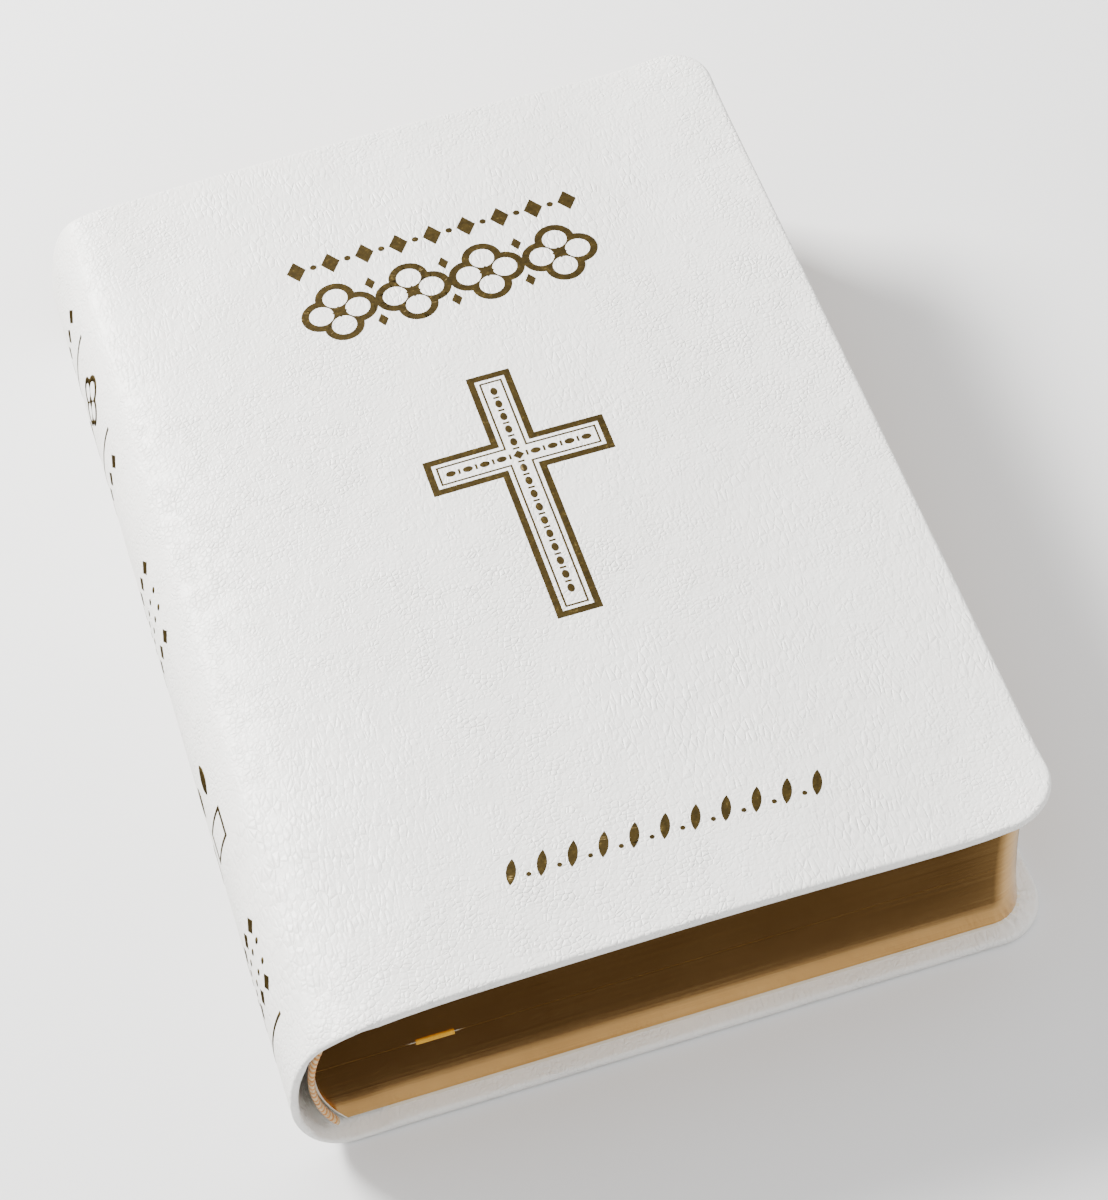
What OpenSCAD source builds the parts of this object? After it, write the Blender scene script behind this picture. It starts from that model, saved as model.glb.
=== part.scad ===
// A leather-bound book of scripture: cased page block with gilt edges,
// hinged covers, a page opening held by a marker ribbon, and foil ornament.
// X runs from the spine to the fore-edge, Y from tail to head, Z up.
// The origin is the middle of the closed book's underside.

/* [Book] */
// Width over the covers, spine to fore-edge
book_w = 165; // [120:1:220]
// Height of the covers, tail to head
book_h = 235; // [160:1:300]
// Thickness over both covers
book_t = 45.9; // [30:0.1:70]
// How far the covers stand out past the pages
cover_overhang = 4.5; // [2:0.1:8]

/* [Covers] */
// Thickness of the outer leather
leather_t = 0.8; // [0.4:0.1:1.5]
// Thickness of the cover boards
board_t = 1.4; // [1:0.1:3]
// Thickness of the leather that is turned in over the board's edge
turn_in_t = 0.4; // [0.2:0.1:0.8]
// Width of the turned-in leather
turn_in_w = 15; // [8:1:20]
// Radius of the covers' two fore-edge corners
cover_corner_r = 11.5; // [2:0.5:20]
// How far a cover board stops short of the book's middle plane on the spine side
board_start = 62; // [50:1:70]

/* [Crown and shoulder] */
// Where the flat of the front cover ends and its fall to the spine begins
crown_x = 5; // [-40:1:40]
// How gently the front cover falls over its width
crown_fall = 1.6; // [0:0.1:3]
// How much further it drops at the shoulder
shoulder_fall = 4.6; // [2:0.1:8]
// Distance from the book's middle plane to the shoulder
shoulder_x = 74; // [66:1:78]

/* [Spine] */
// How far the spine bulges out past the covers' hinge edges
spine_bulge = 11.5; // [6:0.5:16]
// Height of the outermost line of the spine
spine_peak_z = 17; // [12:1:24]
// Thickness of the card that stiffens the spine leather
inlay_t = 0.6; // [0.3:0.1:1.2]
// Radius of the page block's rounded back
block_back_r = 34.5; // [30:0.5:60]
// Distance from the book's middle plane to the block's outermost line
block_back_x = 77.2; // [70:0.1:80]

/* [Pages] */
// Sections in each half of the page block
half_sections = 8; // [4:1:10]
// Radius of the pages' two fore-edge corners
page_corner_r = 7.5; // [0.5:0.5:12]
// Depth of the hollow along the fore-edge
fore_edge_hollow = 1.3; // [0:0.1:3]
// Thickness of the gilding over the page edges
gilding_t = 0.08; // [0.05:0.01:0.3]
// Height of the plane at which the pages open
opening_z = 24; // [14:0.5:32]

/* [Ribbon] */
// Width of the marker ribbon
ribbon_w = 8; // [4:0.5:12]
// Thickness of the ribbon
ribbon_t = 0.2; // [0.1:0.05:0.4]
// Length that is tucked back up from the tail edge
ribbon_tuck = 70; // [20:5:120]
// Angle at which the ribbon lies across the page
ribbon_slant = 5; // [0:0.5:15]

/* [Ornament] */
// Depth of the foil pressed into the leather
foil_t = 0.08; // [0.05:0.01:0.2]
// Distance of the ornaments' centre line from the book's middle plane
ornament_x = 5; // [-10:0.5:15]
// Overall length of the cross
cross_h = 71; // [40:1:100]
// Overall width of the cross
cross_w = 41.6; // [20:0.1:60]
// Width of the cross's bars
cross_bar = 10.1; // [6:0.1:14]

/* [View] */
// Which sub-part is drawn

/* [Hidden] */
$fn = 96;
half_w = book_w / 2;
half_h = book_h / 2;
clear = 0.05;
margin = 1;
paper_t = 0.15;

// cover layers, as depths below the outer face
turn_in_d = leather_t + board_t - turn_in_t;
pastedown_d = leather_t + board_t;
pastedown_t = 0.1;
pastedown_inset = 4;
cover_t = pastedown_d + pastedown_t;
flyleaf_d = cover_t + clear;
block_d = flyleaf_d + paper_t;

// the spine is two quarter ellipses that meet at its outermost line
spine_x = spine_bulge - half_w;
spine_low_z = 7;
spine_high_z = 35;
cap_d = leather_t + inlay_t;
cap_end_t = 0.8;
crown_steps = 12;

// page block
block_half_h = half_h - cover_overhang - gilding_t;
fore_edge_x = half_w - 4;
back_centre = [block_back_r - block_back_x, 20];
opening_gap = 0.7;
sheet_t = 0.1;
sheet_fold_w = 0.6;
hollow_steps = 14;

// layers glued over the block's back
tape_t = 0.25;
tape_w = 12;
tape_pitch = 50;
mull_t = 0.3;
mull_half_h = 105;
lining_t = 0.3;
lining_half_h = 100;
back_low_z = 5;
back_high_z = 36;
band_r = 1.1;
band_seat = 0.6;
band_from = -asin((back_high_z - back_centre.y) / block_back_r);
band_to = asin((back_centre.y - back_low_z) / block_back_r);
wrap_from = band_from + 1;
wrap_t = 0.12;
wrap_angle = 3;
wrap_gap = 3.2;

// ribbon
ribbon_entry_x = -70.5;
ribbon_top_y = half_h - cover_overhang - clear;
anchor_low_y = 70;
anchor_high_y = 113.6;
fold_start_x = -block_back_x - tape_t - mull_t - lining_t - ribbon_t;
fold_start_y = anchor_high_y + clear;
fold_end_y = ribbon_top_y + 2 * clear;
fold_rise = 3.25;
fold_flat = 0.35;
fold_steps = 20;
fold_slope_step = 0.01;

// ornament at the head of the front cover: a row of lozenges over four quatrefoils
title_row_y = 79.7;
title_row_count = 9;
title_row_pitch = 8.2;
title_lozenge = [4.6, 6.4];
title_dot_r = 0.8;
quatrefoil_y = 64.2;
quatrefoil_count = 4;
quatrefoil_pitch = 17.6;
quatrefoil_size = 18;
pip = [2.6, 4];
pip_y = 6;

// cross
cross_top_y = 34;
cross_arm_y = 9;
cross_border_w = 1.6;
cross_line_d = 2.4;
cross_line_w = 0.45;
bead_pitch = 3.9;
bead_r = 1.15;
bead_squeeze = 0.7;
bead_link = [1.5, 0.5];
crossing_lozenge = [2.6, 2.6];
beads_up = 5;
beads_across = 4;
beads_down = 10;

// row of leaves at the tail of the front cover
lower_row_y = -94;
lower_leaf = [2.1, 6.4];
lower_leaf_count = 11;
lower_leaf_pitch = 6.5;
lower_leaf_lean = -20;
lower_dot_r = 0.55;
lower_dot_y = -1.6;

// ornament on the spine, each at its distance from the middle towards the head
spine_lozenge_rows = [96, 50, 18, -2, -80, -94];
spine_lozenge = [3.4, 4.2];
spine_lozenge_count = 5;
spine_lozenge_pitch = 5.2;
spine_dot_rows = [10.5, 5.5, -84.5, -89.5];
spine_dot_r = 0.7;
spine_dot_count = 7;
spine_dot_pitch = 3.8;
spine_rules = [87, 58, -103];
spine_rule = [0.8, 25];
spine_pair_z = 7;
spine_quatrefoil_y = 72.5;
spine_quatrefoil_size = 12.5;
spine_leaf_y = -40;
spine_leaf = [3.4, 8];
spine_leaf_count = 3;
spine_leaf_pitch = 8;
spine_frame_y = -54;
spine_frame = [8, 10];
spine_frame_bar = 0.8;

leather_colour = [0.93, 0.92, 0.9];
board_colour = [0.62, 0.56, 0.47];
paper_colour = [0.95, 0.92, 0.84];
gilt_colour = [0.79, 0.6, 0.3];
foil_colour = [0.3, 0.24, 0.06];
cloth_colour = [0.83, 0.79, 0.7];
kraft_colour = [0.63, 0.48, 0.31];
band_colour = [0.93, 0.86, 0.72];
wrap_colour = [0.82, 0.5, 0.2];
ribbon_colour = [0.93, 0.68, 0.1];

function section_name(i) = str("section_", i < 10 ? "0" : "", i);
SECTIONS = [for (i = [1:2 * half_sections]) section_name(i)];

// ---- curves ----

// Height of the front cover's outer face
function top_z(x) =
    let (t = max(0, (crown_x - x) / (crown_x + shoulder_x)))
    book_t - crown_fall * pow(t, 1.2) - shoulder_fall * pow(t, 7);

// Stations along the front cover's fall, closer together towards the shoulder
crown_xs = [
    for (i = [0:crown_steps])
        crown_x - (crown_x + shoulder_x) * (1 - pow(1 - i / crown_steps, 1.5))
];

// Line at depth d inside a cover's outer face, from the fore-edge to the spine
function face(front, d) =
    let (height = function (x) front ? top_z(x) - d : d)
    [
        [half_w + margin, height(half_w)],
        for (x = crown_xs) [x, height(x)],
        [-half_w - margin, height(-shoulder_x)]
    ];

function backwards(points) = [for (i = [len(points) - 1:-1:0]) points[i]];
function band(line_a, line_b) = concat(line_a, backwards(line_b));

// Line between the page opening and a cover, at share k of the way to the cover
function leaf_line(front, k) =
    let (gap_z = opening_z + (front ? 1 : -1) * opening_gap / 2)
    [for (p = face(front, block_d)) [p.x, gap_z + (p.y - gap_z) * k]];

// Fore-edge of the pages at height z
function fore_edge(z) =
    let (u = 2 * z / book_t - 1)
    fore_edge_x - fore_edge_hollow * (1 - u * u);

// Route of the ribbon over the head band, from the back of the block to the pages
function fold_centre(s) = [
    fold_start_x + (ribbon_entry_x - fold_start_x) * (1 - cos(180 * s)) / 2,
    fold_start_y + (fold_end_y - fold_start_y) * s + fold_rise * sin(180 * s),
    opening_z
];
function unit(v) = v / norm(v);
function ease(s) = s * s * (3 - 2 * s);

// The ribbon's width direction, which turns from upright to flat across the page
function fold_across(s) =
    let (turned = ease(max(0, (s - fold_flat) / (1 - fold_flat))), a = 90 * turned, b = ribbon_slant * turned)
    [sin(a) * cos(b), sin(a) * sin(b), cos(a)];
function fold_corners(s) =
    let (
        along = unit(fold_centre(s + fold_slope_step) - fold_centre(s - fold_slope_step)),
        across = fold_across(s) * ribbon_w / 2,
        out = unit(cross(along, across)) * ribbon_t / 2,
        c = fold_centre(s)
    )
    [c + across + out, c - across + out, c - across - out, c + across - out];

// ---- shared shapes ----

module along_y(half_length) {
    rotate([90, 0, 0]) linear_extrude(2 * half_length, center = true) children();
}

module box_from(low, high) {
    translate(low) cube(high - low);
}

// A rectangle from x0 to x1 with its two corners at x1 rounded
module rounded_leaf(x0, x1, half_length, r) {
    translate([x0, -half_length]) square([x1 - x0 - r, 2 * half_length]);
    translate([x0, r - half_length]) square([x1 - x0, 2 * (half_length - r)]);
    for (side = [-1, 1]) translate([x1 - r, side * (half_length - r)]) circle(r);
}

// Layer of a cover between depths d0 and d1, set in from the cover's edges
module cover_layer(front, d0, d1, inset) {
    intersection() {
        along_y(half_h) polygon(band(face(front, d0), face(front, d1)));
        translate([0, 0, -margin]) linear_extrude(book_t + 2 * margin)
            rounded_leaf(-board_start, half_w - inset, half_h - inset, max(cover_corner_r - inset, margin));
    }
}

// Cross-section of the whole case at depth d inside its outer face
module case_section(d) {
    a = spine_bulge - d;
    join = (shoulder_x + spine_x) / a;
    high = (top_z(-shoulder_x) - d - spine_peak_z) / sqrt(1 - join * join);
    polygon(concat(
        [[spine_x, d], [half_w - d, d], [half_w - d, book_t - d]],
        [for (x = crown_xs) [x, top_z(x) - d]],
        [[-shoulder_x, spine_peak_z], [spine_x, spine_peak_z]]
    ));
    intersection() {
        translate([spine_x, spine_peak_z]) scale([a, high]) circle(1);
        translate([-half_w - margin, spine_peak_z]) square([half_w - shoulder_x + margin, book_t]);
    }
    intersection() {
        translate([spine_x, spine_peak_z]) scale([a, spine_peak_z - d]) circle(1);
        translate([-half_w - margin, -margin]) square([spine_bulge + margin, spine_peak_z + margin]);
    }
}

// Layer of the case between depths d0 and d1
module case_shell(d0, d1, half_length) {
    along_y(half_length) difference() {
        case_section(d0);
        case_section(d1);
    }
}

// The part of the case on the spine side of the boards, between two heights
module spine_zone(low_z, high_z) {
    intersection() {
        children();
        box_from([-half_w - margin, -half_h - margin, low_z], [-board_start, half_h + margin, high_z]);
    }
}

// One of the cover's leather sides, turned in over three edges of its board
module cover_leather(front) {
    difference() {
        cover_layer(front, 0, pastedown_d, 0);
        cover_layer(front, leather_t, turn_in_d, leather_t);
        cover_layer(front, turn_in_d - clear, pastedown_d + margin, turn_in_w);
    }
}

module cover_board(front) {
    cover_layer(front, leather_t, turn_in_d, leather_t);
    cover_layer(front, turn_in_d - clear, pastedown_d, turn_in_w);
}

// Hinge leather between the board and the spine, turned in at head and tail
module hinge_leather(low_z, high_z) {
    spine_zone(low_z, high_z) difference() {
        case_shell(0, leather_t + turn_in_t, half_h);
        case_shell(leather_t, leather_t + turn_in_t + margin, half_h - turn_in_w);
    }
}

// The whole page block, grown by g over its three open edges
module block_core(g) {
    intersection() {
        along_y(block_half_h + g) intersection() {
            polygon(concat(
                [[-half_w, -margin], [half_w, -margin]],
                [for (i = [0:hollow_steps]) let (z = book_t * i / hollow_steps) [fore_edge(z) + g, z]],
                [[half_w, book_t + margin], [-half_w, book_t + margin]]
            ));
            union() {
                translate(back_centre) circle(block_back_r);
                translate([back_centre.x, -margin]) square([book_w, book_t + 2 * margin]);
            }
        }
        translate([0, 0, -margin]) linear_extrude(book_t + 2 * margin)
            rounded_leaf(-half_w, fore_edge_x + g, block_half_h + g, page_corner_r + g);
    }
}

// Pages between shares k0 and k1 of one half of the block
module pages(front, k0, k1, g) {
    intersection() {
        block_core(g);
        along_y(half_h) polygon(band(leaf_line(front, k0), leaf_line(front, k1)));
    }
}

// A layer round the block's back, between distances out from it
module back_layer(d0, d1, y, half_length) {
    translate([0, y, 0]) spine_zone(back_low_z, back_high_z) along_y(half_length)
        translate(back_centre) difference() {
            circle(block_back_r + d1);
            circle(block_back_r + d0);
        }
}

// Part of a roll that follows the block's back, between two angles
module back_roll(end, from_angle, to_angle, outer_r, inner_r) {
    translate([back_centre.x, end * (half_h - cover_overhang + band_r + wrap_t + clear), back_centre.y])
        rotate([90, 0, 0]) rotate([0, 0, 180 + from_angle])
            rotate_extrude(angle = to_angle - from_angle)
                translate([block_back_r - band_seat, 0]) difference() {
                    circle(outer_r);
                    if (inner_r > 0) circle(inner_r);
                }
}

module band_wraps(end) {
    for (a = [wrap_from:wrap_angle + wrap_gap:band_to - wrap_angle])
        back_roll(end, a, a + wrap_angle, band_r + wrap_t, band_r + clear / 2);
}

// ---- ornament outlines ----

module lozenge(size) {
    polygon([[size.x / 2, 0], [0, size.y / 2], [-size.x / 2, 0], [0, -size.y / 2]]);
}

// A pointed leaf, where two circles cross
module leaf(size) {
    r = size * size / (4 * size.x);
    intersection() {
        translate([r - size.x / 2, 0]) circle(r);
        translate([size.x / 2 - r, 0]) circle(r);
    }
}

// Four rings in a cross, with a lozenge in the middle
module quatrefoil(size) {
    reach = 0.24 * size;
    outer_r = 0.26 * size;
    inner_r = 0.16 * size;
    difference() {
        for (a = [0:90:270]) rotate(a) translate([reach, 0]) circle(outer_r);
        for (a = [0:90:270]) rotate(a) translate([reach, 0]) circle(inner_r);
    }
    lozenge([0.2 * size, 0.2 * size]);
}

// Copies in a row along X, centred
module row(count, pitch) {
    for (i = [0:count - 1]) translate([(i - (count - 1) / 2) * pitch, 0]) children();
}

module title_outline() {
    translate([ornament_x, quatrefoil_y]) {
        row(quatrefoil_count, quatrefoil_pitch) quatrefoil(quatrefoil_size);
        for (side = [-1, 1]) translate([0, side * pip_y])
            row(quatrefoil_count - 1, quatrefoil_pitch) lozenge(pip);
    }
    translate([ornament_x, title_row_y]) {
        row(title_row_count, title_row_pitch) lozenge(title_lozenge);
        row(title_row_count - 1, title_row_pitch) circle(title_dot_r);
    }
}

module lower_outline() {
    translate([ornament_x, lower_row_y]) {
        row(lower_leaf_count, lower_leaf_pitch) rotate(lower_leaf_lean) leaf(lower_leaf);
        row(lower_leaf_count - 1, lower_leaf_pitch) translate([0, lower_dot_y]) circle(lower_dot_r);
    }
}

// Latin cross, set in from its own outline
module cross_outline(inset) {
    translate([ornament_x, 0]) {
        translate([inset - cross_bar / 2, cross_top_y - cross_h + inset])
            square([cross_bar - 2 * inset, cross_h - 2 * inset]);
        translate([inset - cross_w / 2, cross_arm_y - cross_bar / 2 + inset])
            square([cross_w - 2 * inset, cross_bar - 2 * inset]);
    }
}

module cross_border_outline() {
    difference() {
        cross_outline(0);
        cross_outline(cross_border_w);
    }
}

module cross_line_outline() {
    difference() {
        cross_outline(cross_line_d);
        cross_outline(cross_line_d + cross_line_w);
    }
}

// Beads with a short bar between each two, from the crossing outwards
module bead_run(count) {
    for (i = [1:count]) translate([0, i * bead_pitch]) scale([bead_squeeze, 1]) circle(bead_r);
    for (i = [1:count]) translate([0, (i - 0.5) * bead_pitch]) square(bead_link, center = true);
}

module cross_beads_outline() {
    translate([ornament_x, cross_arm_y]) {
        lozenge(crossing_lozenge);
        bead_run(beads_up);
        for (side = [-1, 1]) rotate(90 * side) bead_run(beads_across);
        rotate(180) bead_run(beads_down);
    }
}

// Ornament on the spine, with its length along the spine as X
module spine_outline() {
    translate([0, (spine_low_z + spine_high_z) / 2]) {
        for (x = spine_lozenge_rows) translate([x, 0]) rotate(90)
            row(spine_lozenge_count, spine_lozenge_pitch) lozenge(spine_lozenge);
        for (x = spine_dot_rows) translate([x, 0]) rotate(90)
            row(spine_dot_count, spine_dot_pitch) circle(spine_dot_r);
        for (x = spine_rules) translate([x, 0]) square(spine_rule, center = true);
        for (side = [-1, 1]) translate([spine_quatrefoil_y, side * spine_pair_z])
            quatrefoil(spine_quatrefoil_size);
        translate([spine_leaf_y, 0]) rotate(90) row(spine_leaf_count, spine_leaf_pitch) leaf(spine_leaf);
        for (side = [-1, 1]) translate([spine_frame_y, side * spine_pair_z]) difference() {
            square(spine_frame, center = true);
            square([for (side = spine_frame) side - 2 * spine_frame_bar], center = true);
        }
    }
}

// Foil that lies in the front cover's face, in the shape of an outline
module cover_foil() {
    intersection() {
        cover_layer(true, 0, foil_t, leather_t);
        linear_extrude(book_t + margin) children();
    }
}

module spine_foil() {
    intersection() {
        spine_zone(spine_low_z, spine_high_z) case_shell(0, foil_t, half_h);
        translate([-half_w - margin, 0, 0]) rotate([90, 0, 90]) linear_extrude(spine_bulge)
            spine_outline();
    }
}

// ---- sub-parts: covers ----

module back_leather() color(leather_colour) cover_leather(false);
module back_board() color(board_colour) cover_board(false);
module back_pastedown() color(paper_colour)
    cover_layer(false, pastedown_d, cover_t, pastedown_inset);
module back_hinge_leather() color(leather_colour) hinge_leather(-margin, spine_low_z);

module front_leather() color(leather_colour) difference() {
    cover_leather(true);
    cover_foil() title_outline();
    cover_foil() cross_border_outline();
    cover_foil() cross_line_outline();
    cover_foil() cross_beads_outline();
    cover_foil() lower_outline();
}
module front_board() color(board_colour) cover_board(true);
module front_pastedown() color(paper_colour)
    cover_layer(true, pastedown_d, cover_t, pastedown_inset);
module front_hinge_leather() color(leather_colour) hinge_leather(spine_high_z, book_t);

// Leather over the spine, with a cap turned in over the card at head and tail
module spine_leather() color(leather_colour) difference() {
    spine_zone(spine_low_z, spine_high_z) difference() {
        case_shell(0, cap_d + turn_in_t, half_h);
        case_shell(leather_t, cap_d, half_h - cap_end_t);
        case_shell(cap_d - clear, cap_d + turn_in_t + margin, half_h - turn_in_w);
    }
    spine_foil();
}
module spine_inlay() color(kraft_colour) spine_zone(spine_low_z + margin, spine_high_z - margin)
    case_shell(leather_t, cap_d - clear, half_h - cap_end_t - clear);
module spine_ornament() color(foil_colour) spine_foil();

module title_ornament() color(foil_colour) cover_foil() title_outline();
module cross_border() color(foil_colour) cover_foil() cross_border_outline();
module cross_line() color(foil_colour) cover_foil() cross_line_outline();
module cross_beads() color(foil_colour) cover_foil() cross_beads_outline();
module lower_ornament() color(foil_colour) cover_foil() lower_outline();

// ---- sub-parts: page block ----

module flyleaf(front) color(paper_colour) intersection() {
    block_core(0);
    along_y(half_h) polygon(band(face(front, flyleaf_d), face(front, block_d)));
}
module back_flyleaf() flyleaf(false);
module front_flyleaf() flyleaf(true);

// Gilt over the three open edges of one half of the block
module gilding(front) color(gilt_colour) difference() {
    pages(front, 0, 1, gilding_t);
    block_core(0);
}
module back_gilding() gilding(false);
module front_gilding() gilding(true);

// Sections are counted from the front cover
module section(i) color(paper_colour) {
    front = i <= half_sections;
    k = front ? half_sections - i : i - half_sections - 1;
    pages(front, k / half_sections, (k + 1) / half_sections, 0);
}

// The folded sheet at which the block opens
module centre_sheet() color(paper_colour) intersection() {
    block_core(0);
    along_y(half_h) difference() {
        translate([-half_w, opening_z - opening_gap / 2]) square([book_w, opening_gap]);
        translate([sheet_fold_w - block_back_x, opening_z - opening_gap / 2 + sheet_t])
            square([book_w, opening_gap - 2 * sheet_t]);
    }
}

module sewing_tapes() color(cloth_colour)
    for (i = [-1.5:1:1.5]) back_layer(0, tape_t, i * tape_pitch, tape_w / 2);
module mull() color(cloth_colour) back_layer(tape_t, tape_t + mull_t, 0, mull_half_h);
module spine_lining() color(kraft_colour)
    back_layer(tape_t + mull_t, tape_t + mull_t + lining_t, 0, lining_half_h);

module head_band() color(band_colour) back_roll(1, band_from, band_to, band_r, 0);
module head_band_wraps() color(wrap_colour) band_wraps(1);
module tail_band() color(band_colour) back_roll(-1, band_from, band_to, band_r, 0);
module tail_band_wraps() color(wrap_colour) band_wraps(-1);

// ---- sub-parts: ribbon ----

// End of the ribbon, glued over the lining
module ribbon_anchor() color(ribbon_colour) intersection() {
    d = tape_t + mull_t + lining_t + clear / 2;
    back_layer(d, d + ribbon_t, (anchor_low_y + anchor_high_y) / 2, (anchor_high_y - anchor_low_y) / 2);
    box_from(
        [-half_w, 0, opening_z - ribbon_w / 2],
        [0, half_h, opening_z + ribbon_w / 2]
    );
}

// The ribbon passes over the head band and turns flat to enter the pages
module ribbon_fold() color(ribbon_colour) polyhedron(
    points = [for (i = [0:fold_steps]) each fold_corners(i / fold_steps)],
    faces = concat(
        [
            for (i = [0:fold_steps - 1], j = [0:3])
                let (a = 4 * i + j, b = 4 * i + (j + 1) % 4)
                each [[a, b, b + 4], [a, b + 4, a + 4]]
        ],
        [[3, 2, 1], [3, 1, 0]],
        let (e = 4 * fold_steps) [[e, e + 1, e + 2], [e, e + 2, e + 3]]
    )
);

// The free length lies across the opening, and its end is tucked back up
module ribbon_tail() color(ribbon_colour) {
    length = (ribbon_top_y + half_h - cover_overhang) / cos(ribbon_slant);
    translate([ribbon_entry_x, ribbon_top_y, opening_z]) rotate(ribbon_slant) {
        box_from([-ribbon_w / 2, -length, -ribbon_t], [ribbon_w / 2, 0, 0]);
        box_from([-ribbon_w / 2, -length, -clear], [ribbon_w / 2, ribbon_tuck - length, ribbon_t]);
        translate([-ribbon_w / 2, -length, 0]) rotate([0, 90, 0]) cylinder(ribbon_w, r = ribbon_t);
    }
}

back_leather();
back_board();
back_pastedown();
back_hinge_leather();
front_leather();
front_board();
front_pastedown();
front_hinge_leather();
spine_leather();
spine_inlay();
spine_ornament();
title_ornament();
cross_border();
cross_line();
cross_beads();
lower_ornament();
back_flyleaf();
front_flyleaf();
back_gilding();
front_gilding();
centre_sheet();
sewing_tapes();
mull();
spine_lining();
head_band();
head_band_wraps();
tail_band();
tail_band_wraps();
ribbon_anchor();
ribbon_fold();
ribbon_tail();
for (i = [1:2 * half_sections]) section(i);
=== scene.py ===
"""Looks of a white leather-bound book with gilt edges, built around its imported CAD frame.

Lengths in this script are in millimetres, in the frame of the CAD, and are turned into metres as each mesh is
made. The stage is in metres.
"""

import math

import bmesh
import bpy
import numpy as np
from mathutils import Matrix, Vector


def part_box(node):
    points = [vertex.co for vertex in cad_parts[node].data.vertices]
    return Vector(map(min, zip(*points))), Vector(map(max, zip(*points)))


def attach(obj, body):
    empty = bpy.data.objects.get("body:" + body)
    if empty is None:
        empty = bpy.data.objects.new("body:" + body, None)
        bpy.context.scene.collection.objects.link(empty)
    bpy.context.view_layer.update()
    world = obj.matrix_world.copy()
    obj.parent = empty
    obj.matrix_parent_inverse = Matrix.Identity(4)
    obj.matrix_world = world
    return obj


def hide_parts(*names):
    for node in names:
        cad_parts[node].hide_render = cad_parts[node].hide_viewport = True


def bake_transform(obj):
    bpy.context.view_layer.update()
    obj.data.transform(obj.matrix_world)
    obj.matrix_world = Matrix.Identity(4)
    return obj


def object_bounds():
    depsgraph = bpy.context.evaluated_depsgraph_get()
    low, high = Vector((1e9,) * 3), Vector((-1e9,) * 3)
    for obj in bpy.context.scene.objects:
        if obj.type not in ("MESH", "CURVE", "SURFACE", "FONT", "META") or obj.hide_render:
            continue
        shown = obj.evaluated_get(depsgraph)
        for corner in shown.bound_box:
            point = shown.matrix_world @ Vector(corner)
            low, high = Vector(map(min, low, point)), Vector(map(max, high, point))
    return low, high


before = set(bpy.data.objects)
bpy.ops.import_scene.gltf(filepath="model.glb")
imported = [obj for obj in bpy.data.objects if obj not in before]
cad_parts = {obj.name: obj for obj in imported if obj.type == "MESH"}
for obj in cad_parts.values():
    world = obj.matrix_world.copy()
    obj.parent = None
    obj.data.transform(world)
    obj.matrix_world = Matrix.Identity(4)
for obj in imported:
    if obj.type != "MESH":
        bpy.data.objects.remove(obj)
cad_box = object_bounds()
MM = 0.001


def box_mm(node):
    low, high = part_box(node)
    return np.array(low) / MM, np.array(high) / MM


# ---- sizes read from the frame ----

half_w = cad_box[1][0] / MM
half_h = cad_box[1][1] / MM
book_t = cad_box[1][2] / MM
board_x, _, _ = box_mm("front_board")[0]
cover_t = box_mm("back_pastedown")[1][2]
pastedown_x, pastedown_y, _ = box_mm("back_pastedown")[1]
flyleaf_low, flyleaf_high = (box_mm("back_flyleaf")[i][2] for i in (0, 1))
block_y = box_mm("back_gilding")[1][1]
gilt_t = block_y - box_mm("section_16")[1][1]
opening_low, opening_high = (box_mm("centre_sheet")[i][2] for i in (0, 1))
opening_z = (opening_low + opening_high) / 2
fore_x = box_mm("section_16")[1][0]
back_x = box_mm("section_13")[0][0]
spine_low_z, spine_high_z = (box_mm("spine_leather")[i][2] for i in (0, 1))
sections = sorted(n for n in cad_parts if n.startswith("section_"))
half_sections = len(sections) // 2

# ---- sizes that the solids are drawn from, in the same words as the part's source ----

leather_t = 0.8
turn_in_t = 0.4
inlay_t = 0.6
cover_corner_r = 11.5
page_corner_r = 7.5
crown_x = 5.0
crown_fall = 1.6
shoulder_fall = 4.6
shoulder_x = 74.0
spine_x = -71.0
spine_peak_z = 17.0
back_centre_z = 20.0
back_r = 34.5
fore_edge_hollow = 1.3
tape_t = 0.25
mull_t = 0.3
lining_t = 0.3

pastedown_t = 0.3
pastedown_proud = 0.1
tape_ys = (-75, -25, 25, 75)
tape_half_w = 6
ribbon_w = 8.0
ribbon_t = 0.2
ribbon_slant = math.radians(5)
ribbon_entry_x = -70.5
ribbon_tucked = 70.0
case_edge_t = cover_t - pastedown_proud

CLEAR = 0.02


# ---- curves ----

SAG, SAG_X, SAG_REACH = 1.0, 56, 24
CURL, CURL_X, CURL_REACH, CURL_FROM = 2.1, 58, 26, 0.76
RIPPLE = 0.12
SHOULDER_RISE = 2.6
HALF_GAP = (opening_high - opening_low) / 2
CLOSED_GAP = 0.03
GAP_CLOSES = 12
BESIDE_RIBBON = 5


def ease(t):
    t = np.clip(t, 0.0, 1.0)
    return t * t * (3 - 2 * t)


def crown_z(x):
    """Height of the front cover's outer face along its middle."""
    t = np.clip((crown_x - x) / (crown_x + shoulder_x), 0, 1)
    return book_t - crown_fall * t**1.2 - shoulder_fall * t**7


def warp(x, y):
    """How soft leather and board stray from that: a sag before the fore-edge and corners that curl up."""
    out = np.abs(y) / half_h
    sag = -SAG * np.exp(-(((x - SAG_X) / SAG_REACH) ** 2)) * (0.35 + 0.65 * out**2)
    curl = CURL * ease((x - CURL_X) / CURL_REACH) ** 1.5 * ease((out - CURL_FROM) / (1 - CURL_FROM)) ** 1.5
    ripple = RIPPLE * np.sin(y / 31 + 1.3) * np.cos(x / 27)
    return (sag + curl + ripple) * ease((x - board_x) / 30)


def top_z(x, y):
    return crown_z(x) + warp(x, y)


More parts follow.
